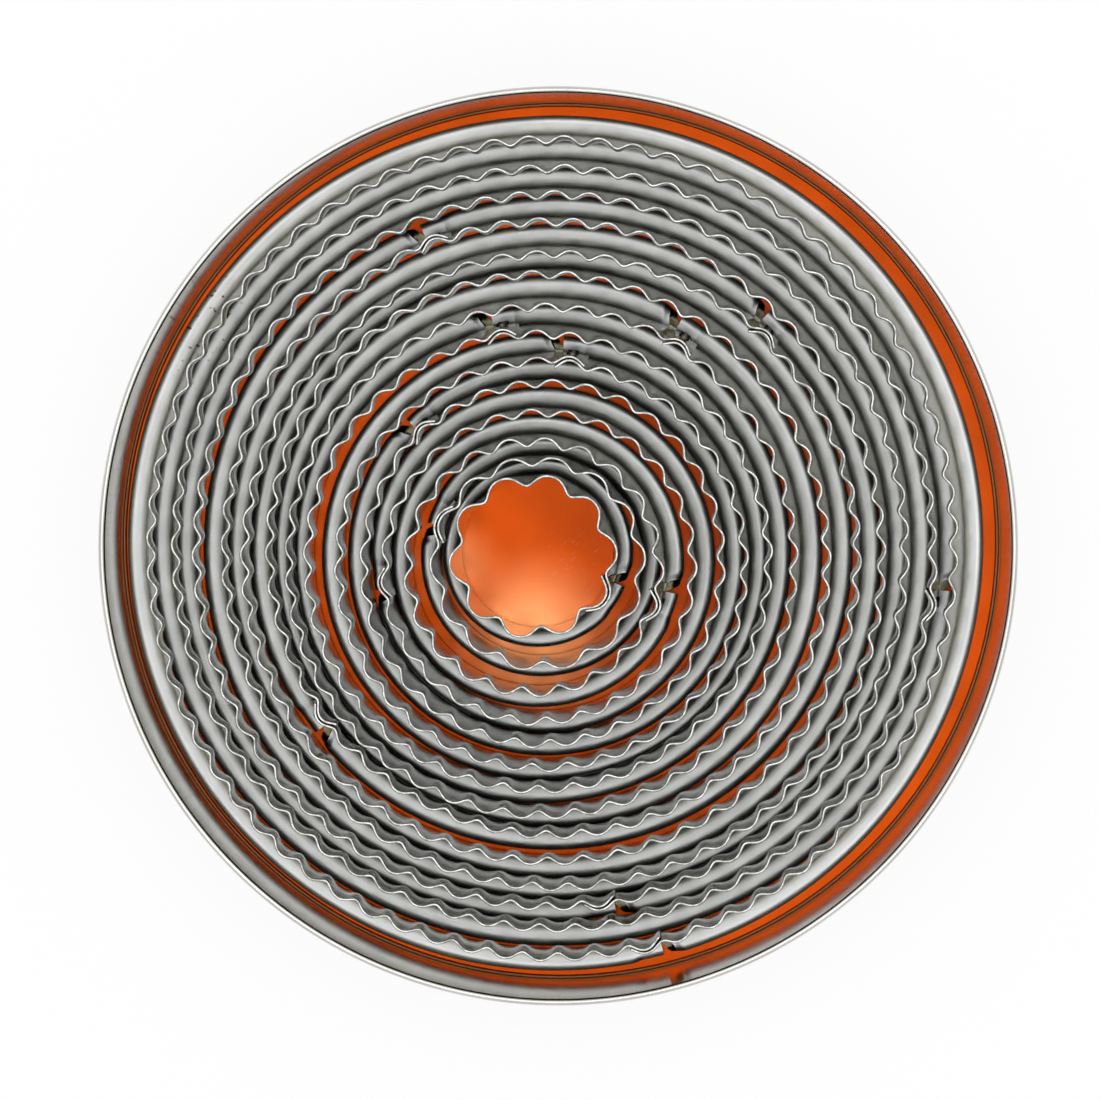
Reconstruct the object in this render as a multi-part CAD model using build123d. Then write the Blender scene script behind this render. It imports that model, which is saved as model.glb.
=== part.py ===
from build123d import *
import os
from collections import namedtuple
from math import cos, pi, sin, tan

# A nest of round crinkled biscuit cutters standing in their open tin, cutting edges up.
# Millimetres, +Z up. The origin is the centre of the tin's underside.

# Counts read on the object
FLUTE_COUNTS = (10, 14, 21, 27, 32, 36, 41, 45, 50, 54, 59, 63, 67, 72)
CUTTER_COUNT = len(FLUTE_COUNTS)
FEW_FLUTES = 20
CREST_FACETS_IF_FEW = 3
BEAD_SIDES = 32
TIN_SIDES = 48
WELD_SIDES = 6

# The cutters' strip
SHEET = 0.35
CUTTER_HEIGHT = 31.0
FIRST_FOOT_RADIUS = 11.5
BEAD_REACH = 2.2
BEAD_HEIGHT = 2.4
NEST_CLEARANCE = 1.15

# Flutes: crest to valley at the cutting edge, on the smallest cutters and on all the others
SMALL_FLUTE_DEPTHS = (1.64, 1.3, 1.3)
FLUTE_DEPTH = 1.08
GROOVE_WIDTH_SHARE = 0.64

# Seam of each cutter: one lapped flute, spot welds on it, and the stretch left without a bead
SEAM_MARGIN = 0.4
BEAD_END_TAPER = 1.1
WELD_RADIUS = 0.8
WELD_PROUD = 0.12
WELD_HEIGHT_SHARES = (0.22, 0.6)

# The bead's section, as shares of its reach and of its height
BEAD_SECTION_SHARES = ((0.7, 0.0), (1.0, 0.5), (0.7, 1.0))

# The tin
TIN_SHEET = 0.3
TIN_HEIGHT = 28.9
TIN_CLEARANCE = 1.1
PANEL_FIT = 0.2
PANEL_LIP = 1.0
FOOT_FLANGE = 2.4
RIM_ROLL = 0.9
RIM_SECTION_SHARES = ((0.0, 0.0), (1.0, 0.3), (1.0, 0.7), (0.4, 1.0))

# How far the cutting edge is drawn in by its flutes: its radius as a share of the foot's
MOUTH_SHARES = (0.944, 0.949, 0.93, 0.957, 0.956, 0.947, 0.951, 0.947, 0.95, 0.951, 0.952, 0.95, 0.947, 0.949)

# Where each seam lies, as a share of a full turn from +X
SEAM_TURN_SHARES = (
    0.916, 0.437, 0.949, 0.517, 0.366, 0.228, 0.275, 0.159, 0.599, 0.128, 0.308, 0.772, 0.976, 0.787,
)

# How each cutter leans over inside the next one, the last in the tin: X and Y shares of the clearance there
LEAN_SHARES = (
    (-0.43, 0.57),
    (0.46, 0.58),
    (-0.53, -0.08),
    (-0.54, -0.34),
    (0.05, 0.0),
    (0.6, -0.46),
    (-0.58, -0.17),
    (-0.74, -0.42),
    (-0.31, 0.37),
    (-0.3, -0.38),
    (0.33, -0.46),
    (-0.22, -0.34),
    (0.03, 0.17),
    (-0.67, -0.26),
)

# One overrun for every cut
OVERRUN = 1.0

FOOT_STEP = BEAD_REACH + SHEET + NEST_CLEARANCE
PANEL_TOP = TIN_SHEET + TIN_SHEET
FULL_TURN = 360

# One flute of one face of the sheet: its flat facets, then its lines along the cutting edge, the foot and one end
Flute = namedtuple("Flute", "facets edge_line foot_line end_line")


def foot_radius(number):
    """Outside of the wall at the floor, on the middle of a side."""
    return FIRST_FOOT_RADIUS + (number - 1) * FOOT_STEP


def bead_radius(number):
    return foot_radius(number) + BEAD_REACH


def flute_depth(number):
    return SMALL_FLUTE_DEPTHS[number - 1] if number <= len(SMALL_FLUTE_DEPTHS) else FLUTE_DEPTH


def crest_radius(number):
    """Outside of the flutes' crests at the cutting edge."""
    middle = (foot_radius(number) - SHEET / 2) * MOUTH_SHARES[number - 1]
    return middle + flute_depth(number) / 2 + SHEET / 2


def draw_in(number):
    """How much the crests' radius grows with each unit of height: less than nothing, as the wall draws in."""
    return (crest_radius(number) - foot_radius(number)) / CUTTER_HEIGHT


def flute_angle(number):
    return 2 * pi / FLUTE_COUNTS[number - 1]


def crest_facets(number):
    return CREST_FACETS_IF_FEW if FLUTE_COUNTS[number - 1] < FEW_FLUTES else 1


def turned(points, angle):
    return [(x * cos(angle) - y * sin(angle), x * sin(angle) + y * cos(angle), z) for x, y, z in points]


def flat(points):
    return Face(Wire.make_polygon(points))


def prism_stack(outline, sides):
    """A solid through flat-sided rings: outline lists (radius to the middle of a side, height)."""
    rings = [
        Pos(0, 0, height) * RegularPolygon(radius, sides, major_radius=False, align=None)
        for radius, height in outline
    ]
    return loft(rings, ruled=True)


def flute(number, offset, tip_height):
    """The flute between the corners at no angle and at one flute's angle, on the face of the sheet that
    stands offset outside its own outer face. A groove at each corner, halved here, runs from the cutting
    edge down to nothing at tip_height, and the crest between them is one flat facet or a few."""
    angle = flute_angle(number)
    facets = crest_facets(number)
    side_angle = angle / facets
    to_corner = 1 / cos(side_angle / 2)

    def corner(height):
        return ((foot_radius(number) + offset + draw_in(number) * height) * to_corner, 0, height)

    edge_x = corner(CUTTER_HEIGHT)[0]
    groove_half = angle * edge_x * GROOVE_WIDTH_SHARE / 2
    shoulder_x = edge_x - groove_half * sin(side_angle / 2)
    shoulder_y = groove_half * cos(side_angle / 2)
    valley = (edge_x - flute_depth(number), 0, CUTTER_HEIGHT)
    tip, foot = corner(tip_height), corner(0)
    next_valley, next_shoulder, next_tip, next_foot = turned(
        [valley, (shoulder_x, -shoulder_y, CUTTER_HEIGHT), tip, foot], angle
    )
    crest_edge = [(shoulder_x, shoulder_y, CUTTER_HEIGHT)]
    crest_foot = [foot]
    for side in range(1, facets):
        crest_edge += turned([corner(CUTTER_HEIGHT)], side * side_angle)
        crest_foot += turned([foot], side * side_angle)
    crest_edge.append(next_shoulder)
    crest_foot.append(next_foot)

    outlines = [[valley, crest_edge[0], tip], [next_shoulder, next_valley, next_tip]]
    for side in range(facets):
        outline = [crest_edge[side], crest_edge[side + 1]]
        if side == facets - 1 and tip_height:
            outline.append(next_tip)
        outline += [crest_foot[side + 1], crest_foot[side]]
        if side == 0 and tip_height:
            outline.append(tip)
        outlines.append(outline)
    end_line = [valley, tip, foot] if tip_height else [valley, foot]
    return Flute([flat(outline) for outline in outlines], [valley] + crest_edge, crest_foot, end_line)


def fluted_wall(number):
    """The whole wall of a cutter, its flutes patterned round and closed along the edge and the foot.
    They run out at the bead's top outside and at the floor inside."""
    outside = flute(number, 0, BEAD_HEIGHT)
    inside = flute(number, -SHEET, 0)
    flutes = FLUTE_COUNTS[number - 1]
    facets = [
        Rot(0, 0, FULL_TURN / flutes * step) * facet
        for facet in outside.facets + inside.facets
        for step in range(flutes)
    ]

    def closed_line(line):
        points = []
        for step in range(flutes):
            points += turned(line, flute_angle(number) * step)
        return Wire.make_polygon(points)

    facets.append(Face(closed_line(outside.edge_line), [closed_line(inside.edge_line)]))
    facets.append(Face(closed_line(outside.foot_line[:-1]), [closed_line(inside.foot_line[:-1])]))
    return Solid(Shell(facets))


def lapped_end(number):
    """The strip's outer end, a second layer that lies over one flute from valley to valley."""
    angle = flute_angle(number)
    outside = flute(number, SHEET, BEAD_HEIGHT)
    inside = flute(number, -SHEET / 2, BEAD_HEIGHT)
    edge = outside.edge_line + turned(outside.edge_line[:1], angle)
    edge += (inside.edge_line + turned(inside.edge_line[:1], angle))[::-1]
    end = outside.end_line + inside.end_line[::-1]
    closing = [edge, outside.foot_line + inside.foot_line[::-1], end, turned(end, angle)]
    return Solid(Shell(outside.facets + inside.facets + [flat(outline) for outline in closing]))


def bead_roll(number):
    """The rolled grip edge, stopping in a taper on both sides of the seam."""
    foot = foot_radius(number)
    to_side = cos(pi / BEAD_SIDES)
    section = [
        ((foot + BEAD_REACH * reach) * to_side, BEAD_HEIGHT * rise) for reach, rise in BEAD_SECTION_SHARES
    ]
    within_sheet = [
        (foot - SHEET / 2 + draw_in(number) * height, height) for height in (-OVERRUN, BEAD_HEIGHT + OVERRUN)
    ]
    sides = FLUTE_COUNTS[number - 1] * crest_facets(number)
    near_x = foot - SHEET - SEAM_MARGIN
    near_y = foot * tan(flute_angle(number) / 2) + SEAM_MARGIN
    far_x = bead_radius(number) + OVERRUN
    far_y = near_y + BEAD_END_TAPER
    plan = make_face(Polyline((near_x, -near_y), (far_x, -far_y), (far_x, far_y), (near_x, near_y), close=True))
    gap = Pos(0, 0, -OVERRUN) * extrude(plan, BEAD_HEIGHT + 2 * OVERRUN)
    half_flute = FULL_TURN / FLUTE_COUNTS[number - 1] / 2
    return prism_stack(section, BEAD_SIDES) - prism_stack(within_sheet, sides) - Rot(0, 0, half_flute) * gap


def cutter_band(number):
    """One strip: fluted wall, lapped end and rolled bead. Its seam's flute is centred half a flute past +X."""
    return fluted_wall(number) + [lapped_end(number), bead_roll(number)]


def weld_nuggets(number):
    """Flat-headed nuggets on the lap's crest, one above the other."""
    lean = draw_in(number)
    nuggets = []
    for share in WELD_HEIGHT_SHARES:
        height = CUTTER_HEIGHT * share
        seat = Plane(
            origin=(foot_radius(number) + SHEET + lean * height, 0, height),
            x_dir=(0, 1, 0),
            z_dir=(1, 0, -lean),
        )
        nuggets.append(extrude(seat * RegularPolygon(WELD_RADIUS, WELD_SIDES), WELD_PROUD))
    half_flute = FULL_TURN / FLUTE_COUNTS[number - 1] / 2
    return Rot(0, 0, half_flute) * Compound(nuggets)


def cutter_places():
    """Centre of each cutter, worked out from the tin inwards."""
    places = {}
    x = y = 0
    for number in range(CUTTER_COUNT, 0, -1):
        room = TIN_CLEARANCE if number == CUTTER_COUNT else NEST_CLEARANCE
        lean_x, lean_y = LEAN_SHARES[number - 1]
        x += lean_x * room
        y += lean_y * room
        places[number] = (x, y)
    return places


def panel_radius():
    return bead_radius(CUTTER_COUNT) + TIN_CLEARANCE + TIN_SHEET


def tin_wall():
    """Bare wall with its rim rolled outwards and its foot folded inwards."""
    inner = panel_radius() + PANEL_FIT
    outer = inner + TIN_SHEET
    rim_reach = RIM_ROLL - TIN_SHEET
    rim_low = TIN_HEIGHT - RIM_ROLL
    outline = [(outer, 0)]
    outline += [(outer + rim_reach * reach, rim_low + RIM_ROLL * rise) for reach, rise in RIM_SECTION_SHARES]
    wall = prism_stack(outline, TIN_SIDES)
    wall -= prism_stack([(inner, TIN_SHEET), (inner, TIN_HEIGHT + OVERRUN)], TIN_SIDES)
    eye = outer - FOOT_FLANGE
    return wall - prism_stack([(eye, -OVERRUN), (eye, TIN_SHEET + OVERRUN)], TIN_SIDES)


def tin_floor_panel():
    """Lacquered floor, a flat dish with an upturned lip, lying on the wall's folded foot."""
    outer = panel_radius()
    inner = outer - TIN_SHEET
    lip_top = PANEL_TOP + PANEL_LIP
    dish = prism_stack([(outer, TIN_SHEET), (outer, lip_top)], TIN_SIDES)
    return dish - prism_stack([(inner, PANEL_TOP), (inner, lip_top + OVERRUN)], TIN_SIDES)


def write(name, shape):
    shape.label = name
    export_step(shape, "parts/" + name + ".step")


def main():
    os.makedirs("parts", exist_ok=True)
    write("tin_wall", tin_wall())
    write("tin_floor_panel", tin_floor_panel())
    places = cutter_places()
    for number in range(1, CUTTER_COUNT + 1):
        x, y = places[number]
        seam_angle = FULL_TURN * SEAM_TURN_SHARES[number - 1]
        half_flute = FULL_TURN / FLUTE_COUNTS[number - 1] / 2
        seat = Pos(x, y, PANEL_TOP) * Rot(0, 0, seam_angle - half_flute)
        write(f"cutter_{number:02d}", seat * cutter_band(number))
        write(f"spot_welds_{number:02d}", seat * weld_nuggets(number))


main()
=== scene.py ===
"""A nest of crinkled biscuit cutters standing in their open tin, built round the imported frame."""

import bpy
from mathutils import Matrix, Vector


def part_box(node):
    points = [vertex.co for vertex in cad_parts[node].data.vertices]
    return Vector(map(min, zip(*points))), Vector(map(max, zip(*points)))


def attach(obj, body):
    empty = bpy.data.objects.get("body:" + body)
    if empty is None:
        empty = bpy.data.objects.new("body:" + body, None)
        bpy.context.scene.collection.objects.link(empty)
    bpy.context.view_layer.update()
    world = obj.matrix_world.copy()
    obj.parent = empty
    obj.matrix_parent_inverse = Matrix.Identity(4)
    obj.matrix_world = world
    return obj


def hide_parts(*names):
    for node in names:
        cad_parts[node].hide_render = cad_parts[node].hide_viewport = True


bl_info = {
    "name": "Nest of Crinkled Cutters",
    "version": (1, 0, 0),
    "blender": (4, 5, 0),
    "location": "3D Viewport > Sidebar > Cutter Nest",
    "description": "Rolls fourteen fluted tinplate cutters and stands them in their lacquered tin",
    "category": "Add Mesh",
}

from collections import namedtuple
from math import atan2, cos, pi, radians, sin, sqrt, tau

import bmesh
import bpy
from bpy.props import FloatProperty, FloatVectorProperty, IntProperty, PointerProperty
from mathutils import Matrix, Vector, noise

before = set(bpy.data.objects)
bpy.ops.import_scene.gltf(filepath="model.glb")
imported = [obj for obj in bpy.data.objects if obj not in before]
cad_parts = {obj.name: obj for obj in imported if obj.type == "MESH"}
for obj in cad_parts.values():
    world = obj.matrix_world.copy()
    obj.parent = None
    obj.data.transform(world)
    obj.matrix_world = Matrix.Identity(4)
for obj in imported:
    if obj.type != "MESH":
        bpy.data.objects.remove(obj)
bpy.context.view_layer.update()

MM = 0.001
# Points nearer than this are one point
CLOSE = 0.001 * MM

# Counts that the frame's cutters and tin have too
FLUTE_COUNTS = (10, 14, 21, 27, 32, 36, 41, 45, 50, 54, 59, 63, 67, 72)
FEW_FLUTES = 20
FRAME_FACETS_IF_FEW = 3
FRAME_TIN_SIDES = 48

# How each cutting edge has sprung, read to a tenth of a millimetre: over towards +X and towards +Y, then out
# of round along X and along the diagonal between X and Y
EDGE_SPRINGS = (
    (-0.2, 0.2, 0.1, -0.1),
    (0.1, -0.2, 0, -0.1),
    (-0.1, 0, 0, 0),
    (0.1, -0.1, 0, 0.1),
    (0, 0, -0.1, 0.2),
    (-0.1, -0.2, 0, 0),
    (0.1, -0.3, 0.2, 0),
    (-0.1, -0.4, -0.1, 0),
    (0, 0, -0.1, -0.4),
    (0, 0, 0.2, 0.1),
    (0, 0, -0.3, -0.3),
    (0, 0, -0.1, 0),
    (0.2, -0.1, -0.1, -0.1),
    (0, 0.1, -0.5, 0),
)

# How far each bead is rolled out wider than the frame's, in millimetres
BEAD_SPREADS = (0.1, 0.0, 0.1, 0.3, 0.2, 0.2, 0.3, 0.45, 0.3, 0.4, 0.4, 0.4, 0.4, 0.1)

# Smooth shading breaks at edges sharper than this
SHARP_ANGLE = radians(50)

# How far the strip is rolled round in its bead, and the wall round in the tin's rim
CURL_TURN = radians(314)
RIM_TURN = radians(270)
# Where round the bead its open end is cut back most, from the wall under
CUT_BACK_TURN = radians(220)
# How much smaller the bead is pressed at its ends, and over what length; and the stub's size in the bead
END_PRESS = 0.1
END_PRESS_REACH = 2 * MM
STUB_SHARE = 0.92
# How much sharper the valleys are than the crests, on a cutter of few flutes and on the others
FEW_FLUTES_SHARPNESS = 0.16
SHARPNESS = 0.1
# The mesh columns by which a lap is shorter than one flute
LAP_LESS_COLUMNS = 2
# The flutes over which the wobble of hand work changes, and how far apart in the noise two cutters lie
WOBBLE_FLUTES = 4
WOBBLE_APART = 7

WELD_SIDES = 20
WELD_ROUND_SHARE = 0.8
# All flat faces of the tin's sections that lie below this are its foot or its floor
TIN_FLOOR_LEVEL = 2 * MM

# Camera, as the photograph was taken
CAMERA_PLACE = Vector((10.8, 20.6, 761.6)) * MM
CAMERA_AIM = Vector((-1.5, -1.2, 0.6)) * MM
CAMERA_UP = Vector((0, 1, 0))
CAMERA_LENS = 171.8
SENSOR_WIDTH = 36

# Softboxes round the lens, in metres, and their brightness beside white's 1
SOFTBOX_WIDTH = 0.18
SOFTBOX_OPENING = 0.14
SOFTBOX_HEIGHT = 0.8
SOFTBOX_RADIANCE = 2.4
# Brightness of the white surroundings as light, and as seen in the metal
SKY_LIGHT = 0.8
SKY_SHINE = 0.9
# Dark ceiling: dark within the first of these angles from straight up, in degrees, and white beyond the second
CEILING_DARK = 8
CEILING_EDGE = 13
CEILING_GLOW = 0.03
# Half the side of the table in metres, and how much of its white is its own to the eye
TABLE_REACH = 3
TABLE_GLOW = 0.85
# Bounces that light needs to find its way out of the narrow gaps between the cutters
LIGHT_BOUNCES = 16

# One cutter as the frame has it
Place = namedtuple("Place", "number flutes centre bead_radius valley_radius seam_angle floor_z edge_z")


def linear_colour(code):
    """Linear red, green and blue of an sRGB hex colour."""
    channels = (int(code[start:start + 2], 16) / 255 for start in (1, 3, 5))
    return tuple(c / 12.92 if c <= 0.04045 else ((c + 0.055) / 1.055) ** 2.4 for c in channels)


def length_property(name, description, millimetres):
    return FloatProperty(name=name, description=description, default=millimetres * MM, min=0, unit="LENGTH",
                         precision=5)


def colour_property(name, description, code):
    return FloatVectorProperty(name=name, description=description, default=linear_colour(code), size=3,
                               min=0, max=1, subtype="COLOR")


class StripSizes(bpy.types.PropertyGroup):
    """Sizes of the cutters' strip"""

    sheet: length_property("Sheet", "Thickness of the strip", 0.35)
    first_depth: length_property("First Flute Depth", "Crest to valley on the smallest cutter", 1.64)
    next_depth: length_property("Next Flute Depth", "Crest to valley on the next two cutters", 1.3)
    flute_depth: length_property("Flute Depth", "Crest to valley on all the others", 1.08)
    flare: FloatProperty(name="Flare", description="How late the upright wall flares out to its bead",
                         default=2, min=1, max=4)
    foot_tuck: length_property("Foot Tuck", "How far the wall's foot is drawn in above the bead", 0.3)
    bead_play: length_property("Bead Play", "Least gap between a bead and the foot of the next cutter", 0.06)
    bead_reach: length_property("Bead Reach", "How far the rolled bead stands out from the wall", 2.4)
    bead_height: length_property("Bead Height", "Height of the rolled bead", 2.4)
    bead_squareness: FloatProperty(name="Bead Squareness", default=4, min=2, max=6,
                                   description="2 for a round bead, more for one with a flatter top")
    bead_slope: FloatProperty(name="Bead Slope", default=0.2, min=0, max=1,
                              description="How steeply the bead's top rises away from the wall")
    lap_gap: length_property("Lap Gap", "Gap between the lap's two layers at the cutting edge", 0.14)
    closed_end: length_property("Closed Bead End", "From the lap's middle back to the pinched bead end", 1.0)
    open_end: length_property("Open Bead End", "From the lap's middle on to the open bead end", 1.3)
    end_recede: length_property("Bead End Cut", "How far the bead's open end is cut back at its top", 2.2)
    end_reach: length_property("Bead End Reach", "Length over which the bead's ends change shape", 5.0)
    stub_overlap: length_property("Stub Overlap", "How far the narrow stub starts inside the bead", 1.5)
    stub_reach: length_property("Stub Reach", "From the lap's middle on to the stub's tip", 1.6)
    edge_row: length_property("Edge Row", "Height of the mesh row that holds the cutting edge crisp", 0.35)
    edge_round: length_property("Edge Round", "Rounding of the sheared cutting edge", 0.08)
    wobble: length_property("Wobble", "How far hand work leaves a flute out of line", 0.06)
    splay: length_property("Splay", "How far the lap's inner end springs inwards", 0.25)
    weld_radius: length_property("Weld Radius", "Radius of a spot weld's nugget", 0.8)
    weld_proud: length_property("Weld Height", "How far a nugget stands out of the lap", 0.12)
    weld_sink: length_property("Weld Sink", "How deep a nugget sits in the lap", 0.35)
    steps_per_flute: IntProperty(name="Steps per Flute", description="Mesh columns in one flute", default=12,
                                 min=4, max=40)
    wall_rows: IntProperty(name="Wall Rows", description="Mesh rows up the fluted wall", default=8,
                           min=3, max=40)
    curl_rows: IntProperty(name="Curl Rows", description="Mesh rows round the rolled bead", default=16,
                           min=6, max=60)


class TinSizes(bpy.types.PropertyGroup):
    """Sizes of the tin"""

    sheet: length_property("Sheet", "Thickness of the tin's sheet", 0.3)
    rim_roll: length_property("Rim Roll", "Height and reach of the rolled rim", 0.9)
    foot_flange: length_property("Foot Flange", "Width of the foot folded inwards", 2.4)
    corner: length_property("Corner", "Radius of the wall's foot", 0.5)
    lip_corner: length_property("Lip Corner", "Radius at the foot of the floor panel's lip", 0.15)
    lip_gap: length_property("Lip Gap", "Gap between the lip and the wall", 0.04)
    lip_round: length_property("Lip Round", "Rounding of the lip's edge", 0.14)
    steps: IntProperty(name="Steps", description="Mesh columns round the tin", default=256, min=48, max=720)
    corner_steps: IntProperty(name="Corner Steps", description="Mesh steps in a rounded corner", default=5,
                              min=1, max=24)


class NestColours(bpy.types.PropertyGroup):
    """Colours of the finishes"""

    tinplate: colour_property("Tinplate", "Rolled tinplate of the cutters", "#CED0D1")
    # Painted shade: olive grey on the outside of the walls and inside the beads, standing in for the shade
    # between the cutters
    wall_painted_shade: colour_property("Tinplate Painted Shade", "Painted shade outside the cutters' walls", "#86826F")
    cut_edge: colour_property("Cut Edge", "Freshly sheared tinplate", "#C4C4C4")
    tin_wall: colour_property("Tin Wall", "Drawn tinplate of the tin", "#D2D0CC")
    weld: colour_property("Weld", "Burnt steel round a spot weld", "#8C8880")
    lacquer: colour_property("Lacquer", "Orange lacquer on the tin's floor", "#CC4C00")
    # Painted shade: dark brown laid over the lacquer on the side where less light falls
    lacquer_painted_shade: colour_property("Lacquer Painted Shade", "Lacquer darkened as painted shade", "#5A1C08")
    # Painted highlight: a light peach laid over the lacquer where the light's reflection falls, and along the
    # lip
    lacquer_painted_highlight: colour_property("Lacquer Painted Highlight", "Lighter lacquer as painted highlight", "#FFA064")
    speckle: colour_property("Rust Speckle", "Small rust marks on the beads", "#6E4A2C")
    backdrop: colour_property("Backdrop", "Floor and surroundings of the studio", "#FFFFFF")


# Materials


def add_node(tree, kind, sockets=(), **settings):
    """Adds a node, sets it up, and fills its sockets, given by name or in their order: with values, or with
    links from other sockets or from other nodes' first outputs."""
    made = tree.nodes.new(kind)
    for name, value in settings.items():
        setattr(made, name, value)
    for socket, value in sockets.items() if isinstance(sockets, dict) else enumerate(sockets):
        if isinstance(value, bpy.types.Node):
            value = value.outputs[0]
        if isinstance(value, bpy.types.NodeSocket):
            tree.links.new(value, made.inputs[socket])
        else:
            made.inputs[socket].default_value = value
    return made


def new_material(name):
    material = bpy.data.materials.new(name)
    material.use_nodes = True
    material.node_tree.nodes.clear()
    return material, material.node_tree


def with_alpha(colour):
    return (*colour, 1)


def streaks(tree, coordinates, sizes, detail=3):
    """Noise drawn out along each axis of the coordinates to the sizes given, in metres."""
    scale = tuple(1 / size for size in sizes)
    stretched = add_node(tree, "ShaderNodeMapping", {"Vector": coordinates, "Scale": scale})
    noisy = add_node(tree, "ShaderNodeTexNoise", {"Vector": stretched, "Scale": 1, "Detail": detail})
    return noisy.outputs["Fac"]


def patch(tree, place, middle, radius):
    """Soft round patch: 1 at its middle, falling to 0 at its radius."""
    seated = add_node(tree, "ShaderNodeMapping", {
        "Vector": place, "Location": tuple(-value / radius for value in middle), "Scale": (1 / radius,) * 3})
    faded = add_node(tree, "ShaderNodeTexGradient", (seated,), gradient_type="QUADRATIC_SPHERE")
    return faded.outputs["Fac"]


# The Map Range nodes below take a value, the range it comes from and the range it goes to


def rolled_tinplate(colours):
    """Electrolytic tinplate, cold rolled: a soft grey mirror with fine streaks along the strip, duller where
    the rolls have bent it into the bead, and with pinhead rust marks where the nest has once been damp."""
    material, tree = new_material("rolled tinplate")
    strip = add_node(tree, "ShaderNodeUVMap", uv_map="strip")
    place = add_node(tree, "ShaderNodeTexCoord").outputs["Object"]
    # Rolling lines are finer than this, and are drawn only as fine as they still show
    fine = streaks(tree, strip, (14 * MM, 0.28 * MM, MM))
    clouds = streaks(tree, strip, (9 * MM, 3 * MM, MM))
    tone = add_node(tree, "ShaderNodeMapRange", (clouds, 0.25, 0.75, 0.88, 1.04))
    plate = add_node(tree, "ShaderNodeMixRGB", (1, with_alpha(colours.tinplate), tone),
                     blend_type="MULTIPLY")
    damp = patch(tree, place, (-53 * MM, 32 * MM, 0), 14 * MM)
    damp = add_node(tree, "ShaderNodeMapRange", (damp, 0, 0.3, 0, 1))
    pits = streaks(tree, place, (0.9 * MM, 0.9 * MM, 0.9 * MM), 4)
    pits = add_node(tree, "ShaderNodeMapRange", (pits, 0.62, 0.68, 0, 1))
    rust = add_node(tree, "ShaderNodeMath", (damp, pits), operation="MULTIPLY")
    polish = add_node(tree, "ShaderNodeMapRange", (fine, 0.2, 0.8, 0.07, 0.17))
    up = add_node(tree, "ShaderNodeSeparateXYZ", (strip,)).outputs["Y"]
    bent = add_node(tree, "ShaderNodeMapRange", (up, 0, 2 * MM, 0.22, 0))
    shader = add_node(tree, "ShaderNodeBsdfPrincipled", {
        "Base Color": add_node(tree, "ShaderNodeMixRGB", (rust, plate, with_alpha(colours.speckle))),
        "Metallic": 1,
        "Roughness": add_node(tree, "ShaderNodeMath", (polish, bent), operation="ADD"),
        "Normal": add_node(tree, "ShaderNodeBump", {
            "Height": fine, "Strength": 0.3, "Distance": 0.03 * MM})})
    add_node(tree, "ShaderNodeOutputMaterial", {"Surface": shader})
    return material


def painted_shade_tinplate(colours):
    """The strip's other side, outside the walls and inside the beads: tinplate coloured a dark olive with soft
    stains, as painted shade for the shade between the cutters, which makes the nest look deep."""
    material, tree = new_material("olive painted shade tinplate")
    strip = add_node(tree, "ShaderNodeUVMap", uv_map="strip")
    fine = streaks(tree, strip, (14 * MM, 0.28 * MM, MM))
    stains = streaks(tree, strip, (5 * MM, 4 * MM, MM))
    tone = add_node(tree, "ShaderNodeMapRange", (stains, 0.3, 0.7, 0.75, 1.15))
    shader = add_node(tree, "ShaderNodeBsdfPrincipled", {
        "Base Color": add_node(tree, "ShaderNodeMixRGB", (1, with_alpha(colours.wall_painted_shade), tone),
                               blend_type="MULTIPLY"),
        "Metallic": 1,
        "Roughness": add_node(tree, "ShaderNodeMapRange", (fine, 0.2, 0.8, 0.1, 0.2))})
    add_node(tree, "ShaderNodeOutputMaterial", {"Surface": shader})
    return material


def sheared_edge(colours):
    """Tinplate sheared through: a narrow strip of grey steel, brighter where the shears left a burr."""
    material, tree = new_material("sheared tinplate edge")
    place = add_node(tree, "ShaderNodeTexCoord").outputs["Object"]
    burr = streaks(tree, place, (0.8 * MM, 0.8 * MM, 0.8 * MM))
    tone = add_node(tree, "ShaderNodeMapRange", (burr, 0.35, 0.65, 0.45, 1.3))
    shader = add_node(tree, "ShaderNodeBsdfPrincipled", {
        "Base Color": add_node(tree, "ShaderNodeMixRGB", (1, with_alpha(colours.cut_edge), tone),
                               blend_type="MULTIPLY"),
        "Metallic": 1,
        "Roughness": add_node(tree, "ShaderNodeMapRange", (burr, 0.3, 0.7, 0.3, 0.5))})
    add_node(tree, "ShaderNodeOutputMaterial", {"Surface": shader})
    return material


def drawn_tinplate(colours):
    """Tinplate drawn into the tin's wall: satin, with fine marks up the wall from the die."""
    material, tree = new_material("drawn tinplate")
    place = add_node(tree, "ShaderNodeTexCoord").outputs["Object"]
    # Die marks are finer than this, and are drawn only as fine as they still show
    marks = streaks(tree, place, (0.35 * MM, 0.35 * MM, 12 * MM))
    clouds = streaks(tree, place, (9 * MM, 9 * MM, 5 * MM))
    tone = add_node(tree, "ShaderNodeMapRange", (clouds, 0.25, 0.75, 0.85, 1.05))
    shader = add_node(tree, "ShaderNodeBsdfPrincipled", {
        "Base Color": add_node(tree, "ShaderNodeMixRGB", (1, with_alpha(colours.tin_wall), tone),
                               blend_type="MULTIPLY"),
        "Metallic": 1,
        "Roughness": add_node(tree, "ShaderNodeMapRange", (marks, 0.2, 0.8, 0.08, 0.15)),
        "Normal": add_node(tree, "ShaderNodeBump", {
            "Height": marks, "Strength": 0.2, "Distance": 0.02 * MM})})
    add_node(tree, "ShaderNodeOutputMaterial", {"Surface": shader})
    return material


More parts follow.
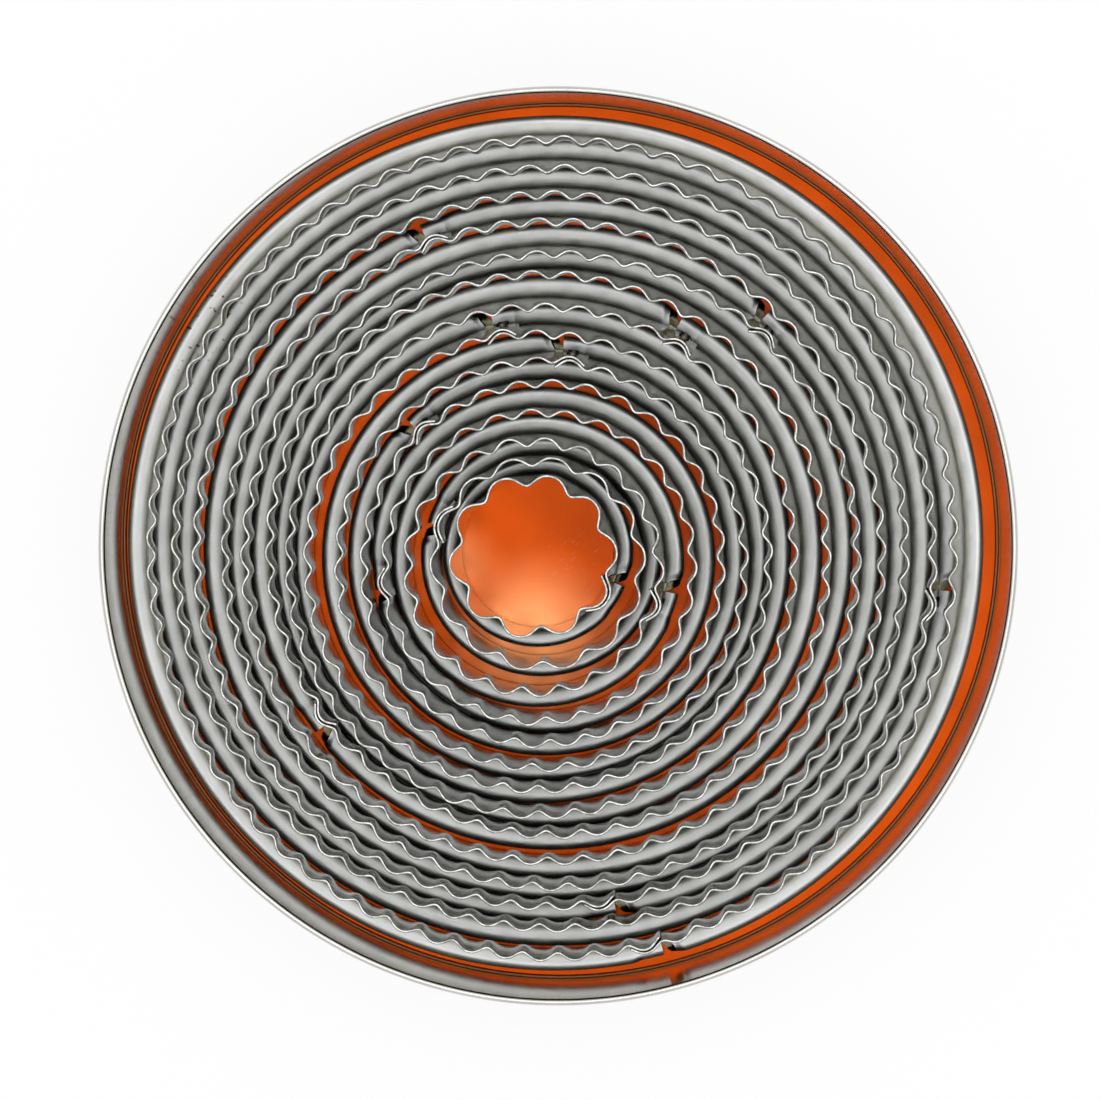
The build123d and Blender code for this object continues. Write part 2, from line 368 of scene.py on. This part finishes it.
def burnt_weld(colours):
    """Spot welded tinplate: the tin is burnt off and leaves dull, blotchy steel."""
    material, tree = new_material("burnt spot weld")
    place = add_node(tree, "ShaderNodeTexCoord").outputs["Object"]
    scale = streaks(tree, place, (0.4 * MM, 0.4 * MM, 0.4 * MM), 4)
    tone = add_node(tree, "ShaderNodeMapRange", (scale, 0.3, 0.7, 0.6, 1.1))
    shader = add_node(tree, "ShaderNodeBsdfPrincipled", {
        "Base Color": add_node(tree, "ShaderNodeMixRGB", (1, with_alpha(colours.weld), tone),
                               blend_type="MULTIPLY"),
        "Metallic": 1,
        "Roughness": add_node(tree, "ShaderNodeMapRange", (scale, 0.3, 0.7, 0.35, 0.6))})
    add_node(tree, "ShaderNodeOutputMaterial", {"Surface": shader})
    return material


def stoved_lacquer(colours):
    """Clear orange lacquer stoved onto tinplate: the metal shines through it, tinted, under a wet gloss. It is
    browned on one side as painted shade, made lighter in two soft patches and along the lip as painted
    highlight, and has a few hairline scratches where the cutters rub, and bright flecks."""
    material, tree = new_material("stoved orange lacquer")
    place = add_node(tree, "ShaderNodeTexCoord").outputs["Object"]
    clouds = streaks(tree, place, (9 * MM, 9 * MM, 9 * MM), 2)
    tone = add_node(tree, "ShaderNodeMapRange", (clouds, 0.3, 0.7, 0.86, 1.1))
    tone = add_node(tree, "ShaderNodeMixRGB", (1, with_alpha(colours.lacquer), tone), blend_type="MULTIPLY")

    # Painted shade: a broad brown patch over the +X, +Y side of the floor
    painted_shade_patch = patch(tree, place, (24 * MM, 14 * MM, 0), 56 * MM)
    # Painted highlights: two soft light patches on the floor, below and left of the middle
    painted_highlight_below = patch(tree, place, (-4 * MM, -14 * MM, 0), 15 * MM)
    painted_highlight_left = patch(tree, place, (-15 * MM, -3 * MM, 0), 8 * MM)
    rubbed = patch(tree, place, (2 * MM, -3 * MM, 0), 7 * MM)
    rubbed = add_node(tree, "ShaderNodeMapRange", (rubbed, 0, 0.5, 0, 0.4))
    turned = add_node(tree, "ShaderNodeMapping", {"Vector": place, "Rotation": (0, 0, radians(-35))})
    hairs = streaks(tree, turned, (1.8 * MM, 0.16 * MM, MM))
    hairs = add_node(tree, "ShaderNodeMapRange", (hairs, 0.66, 0.76, 0, 1))
    height = add_node(tree, "ShaderNodeSeparateXYZ", (place,)).outputs["Z"]
    # The lip's top is painted light peach as a highlight line, and made less metallic
    lip = add_node(tree, "ShaderNodeMapRange", (height, 0.9 * MM, 1.3 * MM, 0, 1))
    flecks = streaks(tree, place, (0.5 * MM, 0.5 * MM, 0.5 * MM))
    for share, colour in (
        (add_node(tree, "ShaderNodeMapRange", (painted_shade_patch, 0, 0.5, 0, 0.6)), colours.lacquer_painted_shade),
        (add_node(tree, "ShaderNodeMapRange", (painted_highlight_below, 0, 0.5, 0, 0.9)), colours.lacquer_painted_highlight),
        (add_node(tree, "ShaderNodeMapRange", (painted_highlight_left, 0, 0.5, 0, 0.4)), colours.lacquer_painted_highlight),
        (lip, colours.lacquer_painted_highlight),
        (add_node(tree, "ShaderNodeMath", (rubbed, hairs), operation="MULTIPLY"), colours.cut_edge),
        (add_node(tree, "ShaderNodeMapRange", (flecks, 0.74, 0.8, 0, 0.3)), colours.cut_edge),
    ):
        tone = add_node(tree, "ShaderNodeMixRGB", (share, tone, with_alpha(colour)))
    shader = add_node(tree, "ShaderNodeBsdfPrincipled", {
        "Base Color": tone,
        "Metallic": add_node(tree, "ShaderNodeMapRange", (lip, 0, 1, 0.9, 0.1)),
        "Roughness": add_node(tree, "ShaderNodeMapRange", (lip, 0, 1, 0.34, 0.2)),
        "Coat Weight": 0.08,
        "Coat Roughness": 0.12})
    add_node(tree, "ShaderNodeOutputMaterial", {"Surface": shader})
    return material


# Meshes


def new_piece(name, bm, materials):
    """Makes a smooth-shaded object of the bmesh, with its place in its mesh."""
    mesh = bpy.data.meshes.new(name)
    bm.to_mesh(mesh)
    bm.free()
    for material in materials:
        mesh.materials.append(material)
    mesh.polygons.foreach_set("use_smooth", [True] * len(mesh.polygons))
    mesh.set_sharp_from_angle(angle=SHARP_ANGLE)
    piece = bpy.data.objects.new(name, mesh)
    bpy.context.scene.collection.objects.link(piece)
    return piece


def lay_blank(bm, columns, heights):
    """Lays out a flat blank of sheet on the XY plane: its columns' places along X and its rows' along Y.
    The map of the strip is the blank itself, in metres."""
    strip = bm.loops.layers.uv.get("strip") or bm.loops.layers.uv.new("strip")
    laid = bmesh.ops.create_grid(bm, x_segments=len(columns) - 1, y_segments=len(heights) - 1,
                                 size=1)["verts"]
    for vertex in laid:
        column = round((vertex.co.x + 1) / 2 * (len(columns) - 1))
        row = round((vertex.co.y + 1) / 2 * (len(heights) - 1))
        vertex.co = (columns[column], heights[row], 0)
    for face in {face for vertex in laid for face in vertex.link_faces}:
        for loop in face.loops:
            loop[strip].uv = loop.vert.co.xy
    return laid


def steps(start, end, count):
    return [start + (end - start) * step / count for step in range(count + 1)]


def eased(share):
    """Smooth step from 0 to 1."""
    share = min(max(share, 0), 1)
    return share * share * (3 - 2 * share)


def place_of(number):
    """Reads a cutter's place and size from the frame's node."""
    flutes = FLUTE_COUNTS[number - 1]
    name = f"cutter_{number:02d}"
    low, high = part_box(name)
    rough = ((low + high) / 2).xy
    points = [vertex.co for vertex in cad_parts[name].data.vertices]
    edge = {(round(p.x, 7), round(p.y, 7)) for p in points if p.z > high.z - CLOSE}
    valleys = sorted((Vector(p) for p in edge), key=lambda p: (p - rough).length)[:flutes]
    centre = sum(valleys, Vector((0, 0))) / flutes
    valley_radius = sum((p - centre).length for p in valleys) / flutes
    bead_radius = max((p.xy - centre).length for p in points)
    welds = [vertex.co.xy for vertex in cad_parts[f"spot_welds_{number:02d}"].data.vertices]
    towards_seam = sum(welds, Vector((0, 0))) / len(welds) - centre
    seam_angle = atan2(towards_seam.y, towards_seam.x)
    return Place(number, flutes, centre, bead_radius, valley_radius, seam_angle, low.z, high.z)


class Band:
    """How one cutter's strip is formed: the blank's X runs round the cutter and its Y up the wall."""

    def __init__(self, place, next_place, sizes):
        self.place = place
        self.next_place = next_place
        self.sizes = sizes
        self.depth = {1: sizes.first_depth, 2: sizes.next_depth, 3: sizes.next_depth}.get(
            place.number, sizes.flute_depth)
        self.height = place.edge_z - place.floor_z
        self.foot_radius = place.bead_radius - sizes.bead_reach
        few = place.flutes < FEW_FLUTES
        sides = place.flutes * (FRAME_FACETS_IF_FEW if few else 1)
        self.crest_radius = (place.valley_radius + self.depth) * cos(pi / sides)
        self.valley_sharpness = FEW_FLUTES_SHARPNESS if few else SHARPNESS
        self.flute_angle = tau / place.flutes
        self.lap_columns = sizes.steps_per_flute - LAP_LESS_COLUMNS
        self.lap_angle = self.flute_angle * self.lap_columns / sizes.steps_per_flute
        self.start_angle = place.seam_angle - self.lap_angle / 2
        self.length = (tau + self.lap_angle) * self.foot_radius
        self.lap = self.lap_angle * self.foot_radius
        self.curl_z = sizes.bead_height / 2

    def rise(self, height):
        """From 0 at the bead's top to 1 at the cutting edge."""
        return max(height - self.sizes.bead_height, 0) / (self.height - self.sizes.bead_height)

    def crest_inside(self, height):
        """Inner face of the sheet on the flutes' crests: upright below the cutting edge, flared to the bead.
        The smallest cutter's foot isn't drawn in."""
        tuck = self.sizes.foot_tuck if self.place.number > 1 else 0
        foot_inside = self.foot_radius - self.sizes.sheet - tuck
        flared = (1 - self.rise(height)) ** self.sizes.flare
        return self.crest_radius + (foot_inside - self.crest_radius) * flared

    def wave(self, angle):
        """From 1 on a crest to -1 in a valley, which is the sharper of the two."""
        turn = (angle - self.place.seam_angle) * self.place.flutes
        return cos(turn) + self.valley_sharpness * (1 - cos(2 * turn))

    def lap_offset(self, along, height):
        """The strip's start lies on the outside of the lap and eases back onto the ring. Its end springs
        inwards a little towards the cutting edge."""
        outer = self.sizes.sheet + self.sizes.lap_gap * height / self.height
        outer *= 1 - eased((along - self.lap) / self.lap)
        spring = self.sizes.splay * eased(1 - (self.length - along) / (self.lap / 2)) * height / self.height
        return outer - spring

    def spring(self, angle):
        """How far the cutting edge stands off its true circle."""
        over_x, over_y, along_x, diagonal = EDGE_SPRINGS[self.place.number - 1]
        sprung = over_x * cos(angle) + over_y * sin(angle)
        sprung += along_x * cos(2 * angle) + diagonal * sin(2 * angle)
        spot = Vector((cos(angle), sin(angle), 0)) * self.place.flutes / WOBBLE_FLUTES
        spot.z = WOBBLE_APART * self.place.number
        return sprung * MM + self.sizes.wobble * noise.noise(spot)

    def bead_edge(self, angle):
        """Outer radius of the bead, as rolled out, but less where it leans on the next cutter's foot."""
        rolled = self.place.bead_radius + BEAD_SPREADS[self.place.number - 1] * MM
        if self.next_place is None:
            return rolled
        sizes = self.sizes
        next_inside = self.next_place.bead_radius - sizes.bead_reach - sizes.sheet - sizes.foot_tuck
        offset = self.next_place.centre - self.place.centre
        outwards = cos(angle) * offset.x + sin(angle) * offset.y
        foot = outwards + sqrt(next_inside ** 2 - offset.length_squared + outwards ** 2)
        return min(rolled, foot - sizes.bead_play)

    def at(self, along, radius, height):
        angle = self.start_angle + along / self.foot_radius
        x, y = self.place.centre
        return Vector((x + radius * cos(angle), y + radius * sin(angle), self.place.floor_z + height))

    def on_wall(self, along, up):
        """Point of the wall's inner face, `up` the blank from the bead's middle."""
        angle = self.start_angle + along / self.foot_radius
        height = self.curl_z + up
        rise = self.rise(height)
        swing = (self.wave(angle) - 1) / 2 * self.depth * (1 - (1 - rise) ** self.sizes.flare)
        radius = self.crest_inside(height) + swing + self.lap_offset(along, height)
        return self.at(along, radius + self.spring(angle) * rise, height)

    def on_curl(self, along, turn, shrink=1):
        """Point of the bead's outer face, `turn` radians on from the wall, under and round to it again."""
        wall = self.crest_inside(self.curl_z)
        reach = (self.bead_edge(self.start_angle + along / self.foot_radius) - wall) / 2 * shrink
        power = self.sizes.bead_squareness
        slope = self.sizes.bead_slope
        squared = (abs(cos(turn)) ** power + abs(sin(turn)) ** power) ** (-1 / power)
        out, up = -squared * cos(turn), -squared * sin(turn)
        tallest = (1 + slope ** (power / (power - 1))) ** (1 - 1 / power)
        height = self.curl_z * shrink * (1 + (up + slope * out) / tallest)
        return self.at(along, wall + reach * (1 + out), height)


def roll_band(place, next_place, sizes, materials):
    """Cuts, beads, flutes and rolls up one strip."""
    band = Band(place, next_place, sizes)
    curl_length = CURL_TURN * band.curl_z
    heights = steps(-curl_length, 0, sizes.curl_rows)
    bead_top = sizes.bead_height - band.curl_z
    wall_top = band.height - band.curl_z
    heights += [*steps(bead_top, wall_top - sizes.edge_row, sizes.wall_rows), wall_top]
    column_count = place.flutes * sizes.steps_per_flute + band.lap_columns
    columns = steps(0, band.length, column_count)
    bm = bmesh.new()
    lay_blank(bm, columns, heights)

    # The bead is notched away round the lap, and the lap's outer layer up to the bead's top as well
    head = band.lap / 2 + sizes.open_end
    tail = band.length - band.lap / 2 - sizes.closed_end
    middles = {face: face.calc_center_median() for face in bm.faces}
    notched = [face for face, middle in middles.items()
               if middle.y < 0 and not head < middle.x < tail or middle.y < bead_top and middle.x < head]
    bmesh.ops.delete(bm, geom=notched, context="FACES")

    for vertex in bm.verts:
        along, up = vertex.co.xy
        if up >= 0:
            vertex.co = band.on_wall(along, up)
            continue
        turn = -up / band.curl_z
        from_head = max(along - head, 0)
        from_tail = max(tail - along, 0)
        cut_back = sizes.end_recede * (1 + cos(turn - CUT_BACK_TURN)) / 2
        along += cut_back * max(1 - from_head / sizes.end_reach, 0)
        pressed = 1 - END_PRESS * (1 - eased(min(from_head, from_tail) / END_PRESS_REACH))
        vertex.co = band.on_curl(along, turn, pressed)

    # A narrower stub of bead carries on from inside the bead, under the lap
    stub_start = tail - sizes.stub_overlap
    stub_end = band.length - band.lap / 2 + sizes.stub_reach
    stub_columns = steps(stub_start, stub_end, sizes.steps_per_flute)
    for vertex in lay_blank(bm, stub_columns, steps(-curl_length, 0, sizes.curl_rows)):
        along, up = vertex.co.xy
        vertex.co = band.on_curl(along, -up / band.curl_z, STUB_SHARE)

    # The faces so far are the wall's inside and the bead's outside; the sheet's other side gets the olive
    # painted shade
    bmesh.ops.reverse_faces(bm, faces=bm.faces[:])
    bm.normal_update()
    bright = set(bm.faces)
    bmesh.ops.solidify(bm, geom=bm.faces[:], thickness=sizes.sheet)
    for face in bm.faces:
        face.material_index = 0 if face in bright else 2
    # The cutting edge is sheared off level, and both its corners rounded
    for vertex in bm.verts:
        if vertex.co.z > place.edge_z - sizes.edge_row / 2:
            vertex.co.z = place.edge_z
    bm.normal_update()
    top = place.edge_z - CLOSE
    edge_faces = {face for face in bm.faces if all(vertex.co.z > top for vertex in face.verts)}
    corners = [edge for edge in bm.edges
               if 0 < sum(face in edge_faces for face in edge.link_faces) < len(edge.link_faces)]
    bmesh.ops.bevel(bm, geom=corners, offset=sizes.edge_round, offset_type="OFFSET", segments=2,
                    profile=0.5, affect="EDGES", material=-1)
    for face in bm.faces:
        if all(vertex.co.z > top for vertex in face.verts):
            face.material_index = 1
    return new_piece(f"rolled_cutter_{place.number:02d}", bm, materials)


def add_welds(place, sizes, material):
    """Round nuggets where the frame has them, sunk into the lap."""
    bm = bmesh.new()
    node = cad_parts[f"spot_welds_{place.number:02d}"]
    middle_z = sum(vertex.co.z for vertex in node.data.vertices) / len(node.data.vertices)
    for above in (False, True):
        points = [vertex.co for vertex in node.data.vertices if (vertex.co.z > middle_z) == above]
        middle = sum(points, Vector()) / len(points)
        outwards = Vector((cos(place.seam_angle), sin(place.seam_angle), 0))
        depth = sizes.weld_proud + sizes.weld_sink
        nugget = bmesh.ops.create_cone(
            bm, cap_ends=True, cap_tris=False, segments=WELD_SIDES,
            radius1=sizes.weld_radius, radius2=sizes.weld_radius, depth=depth)["verts"]
        rim = [edge for edge in bm.edges
               if all(end in nugget and end.co.z > 0 for end in edge.verts)]
        turn = outwards.to_track_quat("Z", "Y").to_matrix().to_4x4()
        seat = middle + outwards * ((sizes.weld_proud - depth) / 2)
        bmesh.ops.transform(bm, matrix=Matrix.Translation(seat) @ turn, verts=nugget)
        bmesh.ops.bevel(bm, geom=rim, offset=sizes.weld_proud * WELD_ROUND_SHARE,
                        offset_type="OFFSET", segments=3, profile=0.5, affect="EDGES", material=-1)
    return new_piece(f"weld_nuggets_{place.number:02d}", bm, [material])


def draw_section(bm, points):
    """A section of sheet in the XZ plane: a line through points given as (radius, height)."""
    line = [bm.verts.new((radius, 0, height)) for radius, height in points]
    for first, second in zip(line, line[1:]):
        bm.edges.new((first, second))
    return line


def turn_section(name, bm, thickness, count, materials, top_round=0):
    """Turns a section once round the tin's axis, gives the skin its thickness, outwards and down, and rounds
    the topmost edge."""
    bmesh.ops.spin(bm, geom=bm.verts[:] + bm.edges[:], cent=(0, 0, 0), axis=(0, 0, 1), angle=tau,
                   steps=count, use_merge=True)
    bmesh.ops.remove_doubles(bm, verts=bm.verts[:], dist=CLOSE)
    bmesh.ops.recalc_face_normals(bm, faces=bm.faces[:])
    bm.normal_update()
    flattest = max((face for face in bm.faces if face.calc_center_median().z < TIN_FLOOR_LEVEL),
                   key=lambda face: abs(face.normal.z))
    if flattest.normal.z < 0:
        bmesh.ops.reverse_faces(bm, faces=bm.faces[:])
        bm.normal_update()
    bmesh.ops.solidify(bm, geom=bm.faces[:], thickness=thickness)
    if top_round:
        top = max(vertex.co.z for vertex in bm.verts) - CLOSE
        crown = [edge for edge in bm.edges
                 if all(vertex.co.z > top for vertex in edge.verts) and edge.calc_face_angle() > 1]
        bmesh.ops.bevel(bm, geom=crown, offset=top_round, offset_type="OFFSET", segments=3, profile=0.5,
                        affect="EDGES", material=-1)
    return new_piece(name, bm, materials)


class NEST_OT_tin_wall(bpy.types.Operator):
    """Draws the tin's wall, with its rolled rim and folded foot"""

    bl_idname = "nest.tin_wall"
    bl_label = "Tin Wall"

    def execute(self, context):
        sizes = context.scene.nest_tin
        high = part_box("tin_wall")[1]
        wall = high.x * cos(pi / FRAME_TIN_SIDES) - sizes.rim_roll
        roll = sizes.rim_roll / 2
        bm = bmesh.new()
        foot, mouth = sizes.sheet, high.z - sizes.rim_roll
        line = draw_section(bm, [
            (wall - sizes.foot_flange, foot), (wall, foot), (wall, foot + 2 * sizes.corner),
            (wall, mouth - sizes.corner), (wall, mouth)])
        bmesh.ops.bevel(bm, geom=[line[1]], offset=sizes.corner, offset_type="OFFSET",
                        segments=sizes.corner_steps, profile=0.5, affect="VERTICES", material=-1)
        bmesh.ops.spin(bm, geom=[line[-1]], cent=(wall + roll, 0, mouth), axis=(0, 1, 0),
                       angle=RIM_TURN, steps=3 * sizes.corner_steps)
        piece = turn_section("drawn_tin_wall", bm, sizes.sheet, sizes.steps,
                             [drawn_tinplate(context.scene.nest_colours)])
        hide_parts("tin_wall")
        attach(piece, "tin")
        return {"FINISHED"}


class NEST_OT_tin_floor(bpy.types.Operator):
    """Presses the lacquered floor panel, with its upturned lip"""

    bl_idname = "nest.tin_floor"
    bl_label = "Tin Floor Panel"

    def execute(self, context):
        sizes = context.scene.nest_tin
        low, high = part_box("tin_floor_panel")
        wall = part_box("tin_wall")[1].x * cos(pi / FRAME_TIN_SIDES) - sizes.rim_roll
        outer = wall - sizes.lip_gap - sizes.sheet
        top = low.z + sizes.sheet
        bm = bmesh.new()
        line = draw_section(bm, [
            (0, top), (outer - 2 * sizes.lip_corner, top), (outer, top), (outer, high.z)])
        bmesh.ops.bevel(bm, geom=[line[2]], offset=sizes.lip_corner, offset_type="OFFSET",
                        segments=sizes.corner_steps, profile=0.5, affect="VERTICES", material=-1)
        piece = turn_section("pressed_tin_floor", bm, sizes.sheet, sizes.steps,
                             [stoved_lacquer(context.scene.nest_colours)], sizes.lip_round)
        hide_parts("tin_floor_panel")
        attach(piece, "tin")
        return {"FINISHED"}


class NEST_OT_cutters(bpy.types.Operator):
    """Rolls the fourteen fluted cutters"""

    bl_idname = "nest.cutters"
    bl_label = "Fluted Cutters"

    def execute(self, context):
        colours = context.scene.nest_colours
        materials = [rolled_tinplate(colours), sheared_edge(colours), painted_shade_tinplate(colours)]
        places = [place_of(number) for number in range(1, len(FLUTE_COUNTS) + 1)]
        for place, next_place in zip(places, (*places[1:], None)):
            piece = roll_band(place, next_place, context.scene.nest_strip, materials)
            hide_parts(f"cutter_{place.number:02d}")
            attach(piece, f"cutter_{place.number:02d}")
        return {"FINISHED"}


class NEST_OT_welds(bpy.types.Operator):
    """Sets the spot welds on the laps"""

    bl_idname = "nest.welds"
    bl_label = "Spot Welds"

    def execute(self, context):
        material = burnt_weld(context.scene.nest_colours)
        for number in range(1, len(FLUTE_COUNTS) + 1):
            piece = add_welds(place_of(number), context.scene.nest_strip, material)
            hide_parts(f"spot_welds_{number:02d}")
            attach(piece, f"cutter_{number:02d}")
        return {"FINISHED"}


def studio_white(colours):
    """Plain white studio paper, which shows white and keeps a faint shadow."""
    material, tree = new_material("white studio paper")
    matt = add_node(tree, "ShaderNodeBsdfDiffuse", {"Color": with_alpha(colours.backdrop)})
    white = add_node(tree, "ShaderNodeEmission", {"Color": with_alpha(colours.backdrop), "Strength": 1})
    seen = add_node(tree, "ShaderNodeLightPath").outputs["Is Camera Ray"]
    share = add_node(tree, "ShaderNodeMath", (seen, TABLE_GLOW), operation="MULTIPLY")
    paper = add_node(tree, "ShaderNodeMixShader", (share, matt, white))
    add_node(tree, "ShaderNodeOutputMaterial", {"Surface": paper})
    return material


def light_world(colours):
    """White surroundings, full strength to the eye and dimmer in the metal and as light. Straight up they
    are dark, as the ceiling is behind the softboxes."""
    world = bpy.data.worlds.new("studio surroundings")
    world.use_nodes = True
    tree = world.node_tree
    tree.nodes.clear()
    path = add_node(tree, "ShaderNodeLightPath")
    direction = add_node(tree, "ShaderNodeTexCoord").outputs["Generated"]
    height = add_node(tree, "ShaderNodeSeparateXYZ", (direction,)).outputs["Z"]
    edge, dark = cos(radians(CEILING_EDGE)), cos(radians(CEILING_DARK))
    ceiling = add_node(tree, "ShaderNodeMapRange", (height, edge, dark, 1, CEILING_GLOW))
    in_metal, to_eye = path.outputs["Is Glossy Ray"], path.outputs["Is Camera Ray"]
    strength = add_node(tree, "ShaderNodeMapRange", (in_metal, 0, 1, SKY_LIGHT, SKY_SHINE))
    strength = add_node(tree, "ShaderNodeMath", (strength, to_eye), operation="MAXIMUM")
    strength = add_node(tree, "ShaderNodeMath", (strength, ceiling), operation="MULTIPLY")
    white = add_node(tree, "ShaderNodeBackground", (with_alpha(colours.backdrop), strength))
    add_node(tree, "ShaderNodeOutputWorld", {"Surface": white})
    bpy.context.scene.world = world


def add_softboxes():
    """Four flat softboxes in a square round the lens, which looks down through the opening between them."""
    length = SOFTBOX_WIDTH + SOFTBOX_OPENING
    for turn in range(4):
        lamp = bpy.data.lights.new(f"softbox {turn + 1}", "AREA")
        lamp.shape = "RECTANGLE"
        lamp.size = length
        lamp.size_y = SOFTBOX_WIDTH
        lamp.energy = SOFTBOX_RADIANCE * pi * length * SOFTBOX_WIDTH
        quarter = Matrix.Rotation(-turn * pi / 2, 4, "Z")
        seat = quarter @ Matrix.Translation((-SOFTBOX_WIDTH / 2, length / 2, 0))
        holder = bpy.data.objects.new(lamp.name, lamp)
        holder.matrix_world = Matrix.Translation((CAMERA_PLACE.x, CAMERA_PLACE.y, SOFTBOX_HEIGHT)) @ seat
        holder.visible_camera = False
        bpy.context.scene.collection.objects.link(holder)


class NEST_OT_stage(bpy.types.Operator):
    """Sets the white table, the studio light and the camera above the nest"""

    bl_idname = "nest.stage"
    bl_label = "Studio Stage"

    def execute(self, context):
        colours = context.scene.nest_colours
        bm = bmesh.new()
        bmesh.ops.create_grid(bm, x_segments=1, y_segments=1, size=TABLE_REACH)
        table = new_piece("studio_table", bm, [studio_white(colours)])
        light_world(colours)
        add_softboxes()
        camera = bpy.data.objects.new("camera above", bpy.data.cameras.new("camera above"))
        camera.data.lens = CAMERA_LENS
        camera.data.sensor_width = SENSOR_WIDTH
        backwards = (CAMERA_PLACE - CAMERA_AIM).normalized()
        right = CAMERA_UP.cross(backwards).normalized()
        turn = Matrix((right, backwards.cross(right), backwards)).transposed()
        camera.matrix_world = Matrix.Translation(CAMERA_PLACE) @ turn.to_4x4()
        context.scene.collection.objects.link(camera)
        context.scene.camera = camera
        context.scene.view_settings.view_transform = "Standard"
        context.scene.cycles.max_bounces = LIGHT_BOUNCES
        context.scene.cycles.glossy_bounces = LIGHT_BOUNCES
        context.scene.cycles.diffuse_bounces = LIGHT_BOUNCES
        return {"FINISHED"}


class NEST_PT_panel(bpy.types.Panel):
    """Sizes, colours and steps of the nest"""

    bl_label = "Cutter Nest"
    bl_space_type = "VIEW_3D"
    bl_region_type = "UI"
    bl_category = "Cutter Nest"

    def draw(self, context):
        for group in (context.scene.nest_strip, context.scene.nest_tin, context.scene.nest_colours):
            box = self.layout.box()
            for name in group.__annotations__:
                box.prop(group, name)
        for operator in OPERATORS:
            self.layout.operator(operator.bl_idname)


GROUPS = (StripSizes, TinSizes, NestColours)
OPERATORS = (NEST_OT_tin_wall, NEST_OT_tin_floor, NEST_OT_cutters, NEST_OT_welds, NEST_OT_stage)


def register():
    for made in (*GROUPS, *OPERATORS, NEST_PT_panel):
        bpy.utils.register_class(made)
    bpy.types.Scene.nest_strip = PointerProperty(type=StripSizes)
    bpy.types.Scene.nest_tin = PointerProperty(type=TinSizes)
    bpy.types.Scene.nest_colours = PointerProperty(type=NestColours)


def unregister():
    del bpy.types.Scene.nest_strip, bpy.types.Scene.nest_tin, bpy.types.Scene.nest_colours
    for made in (NEST_PT_panel, *reversed(OPERATORS), *reversed(GROUPS)):
        bpy.utils.unregister_class(made)


def main():
    register()
    bpy.ops.nest.tin_wall()
    bpy.ops.nest.tin_floor()
    bpy.ops.nest.cutters()
    bpy.ops.nest.welds()
    bpy.ops.nest.stage()


if __name__ == "__main__":
    main()
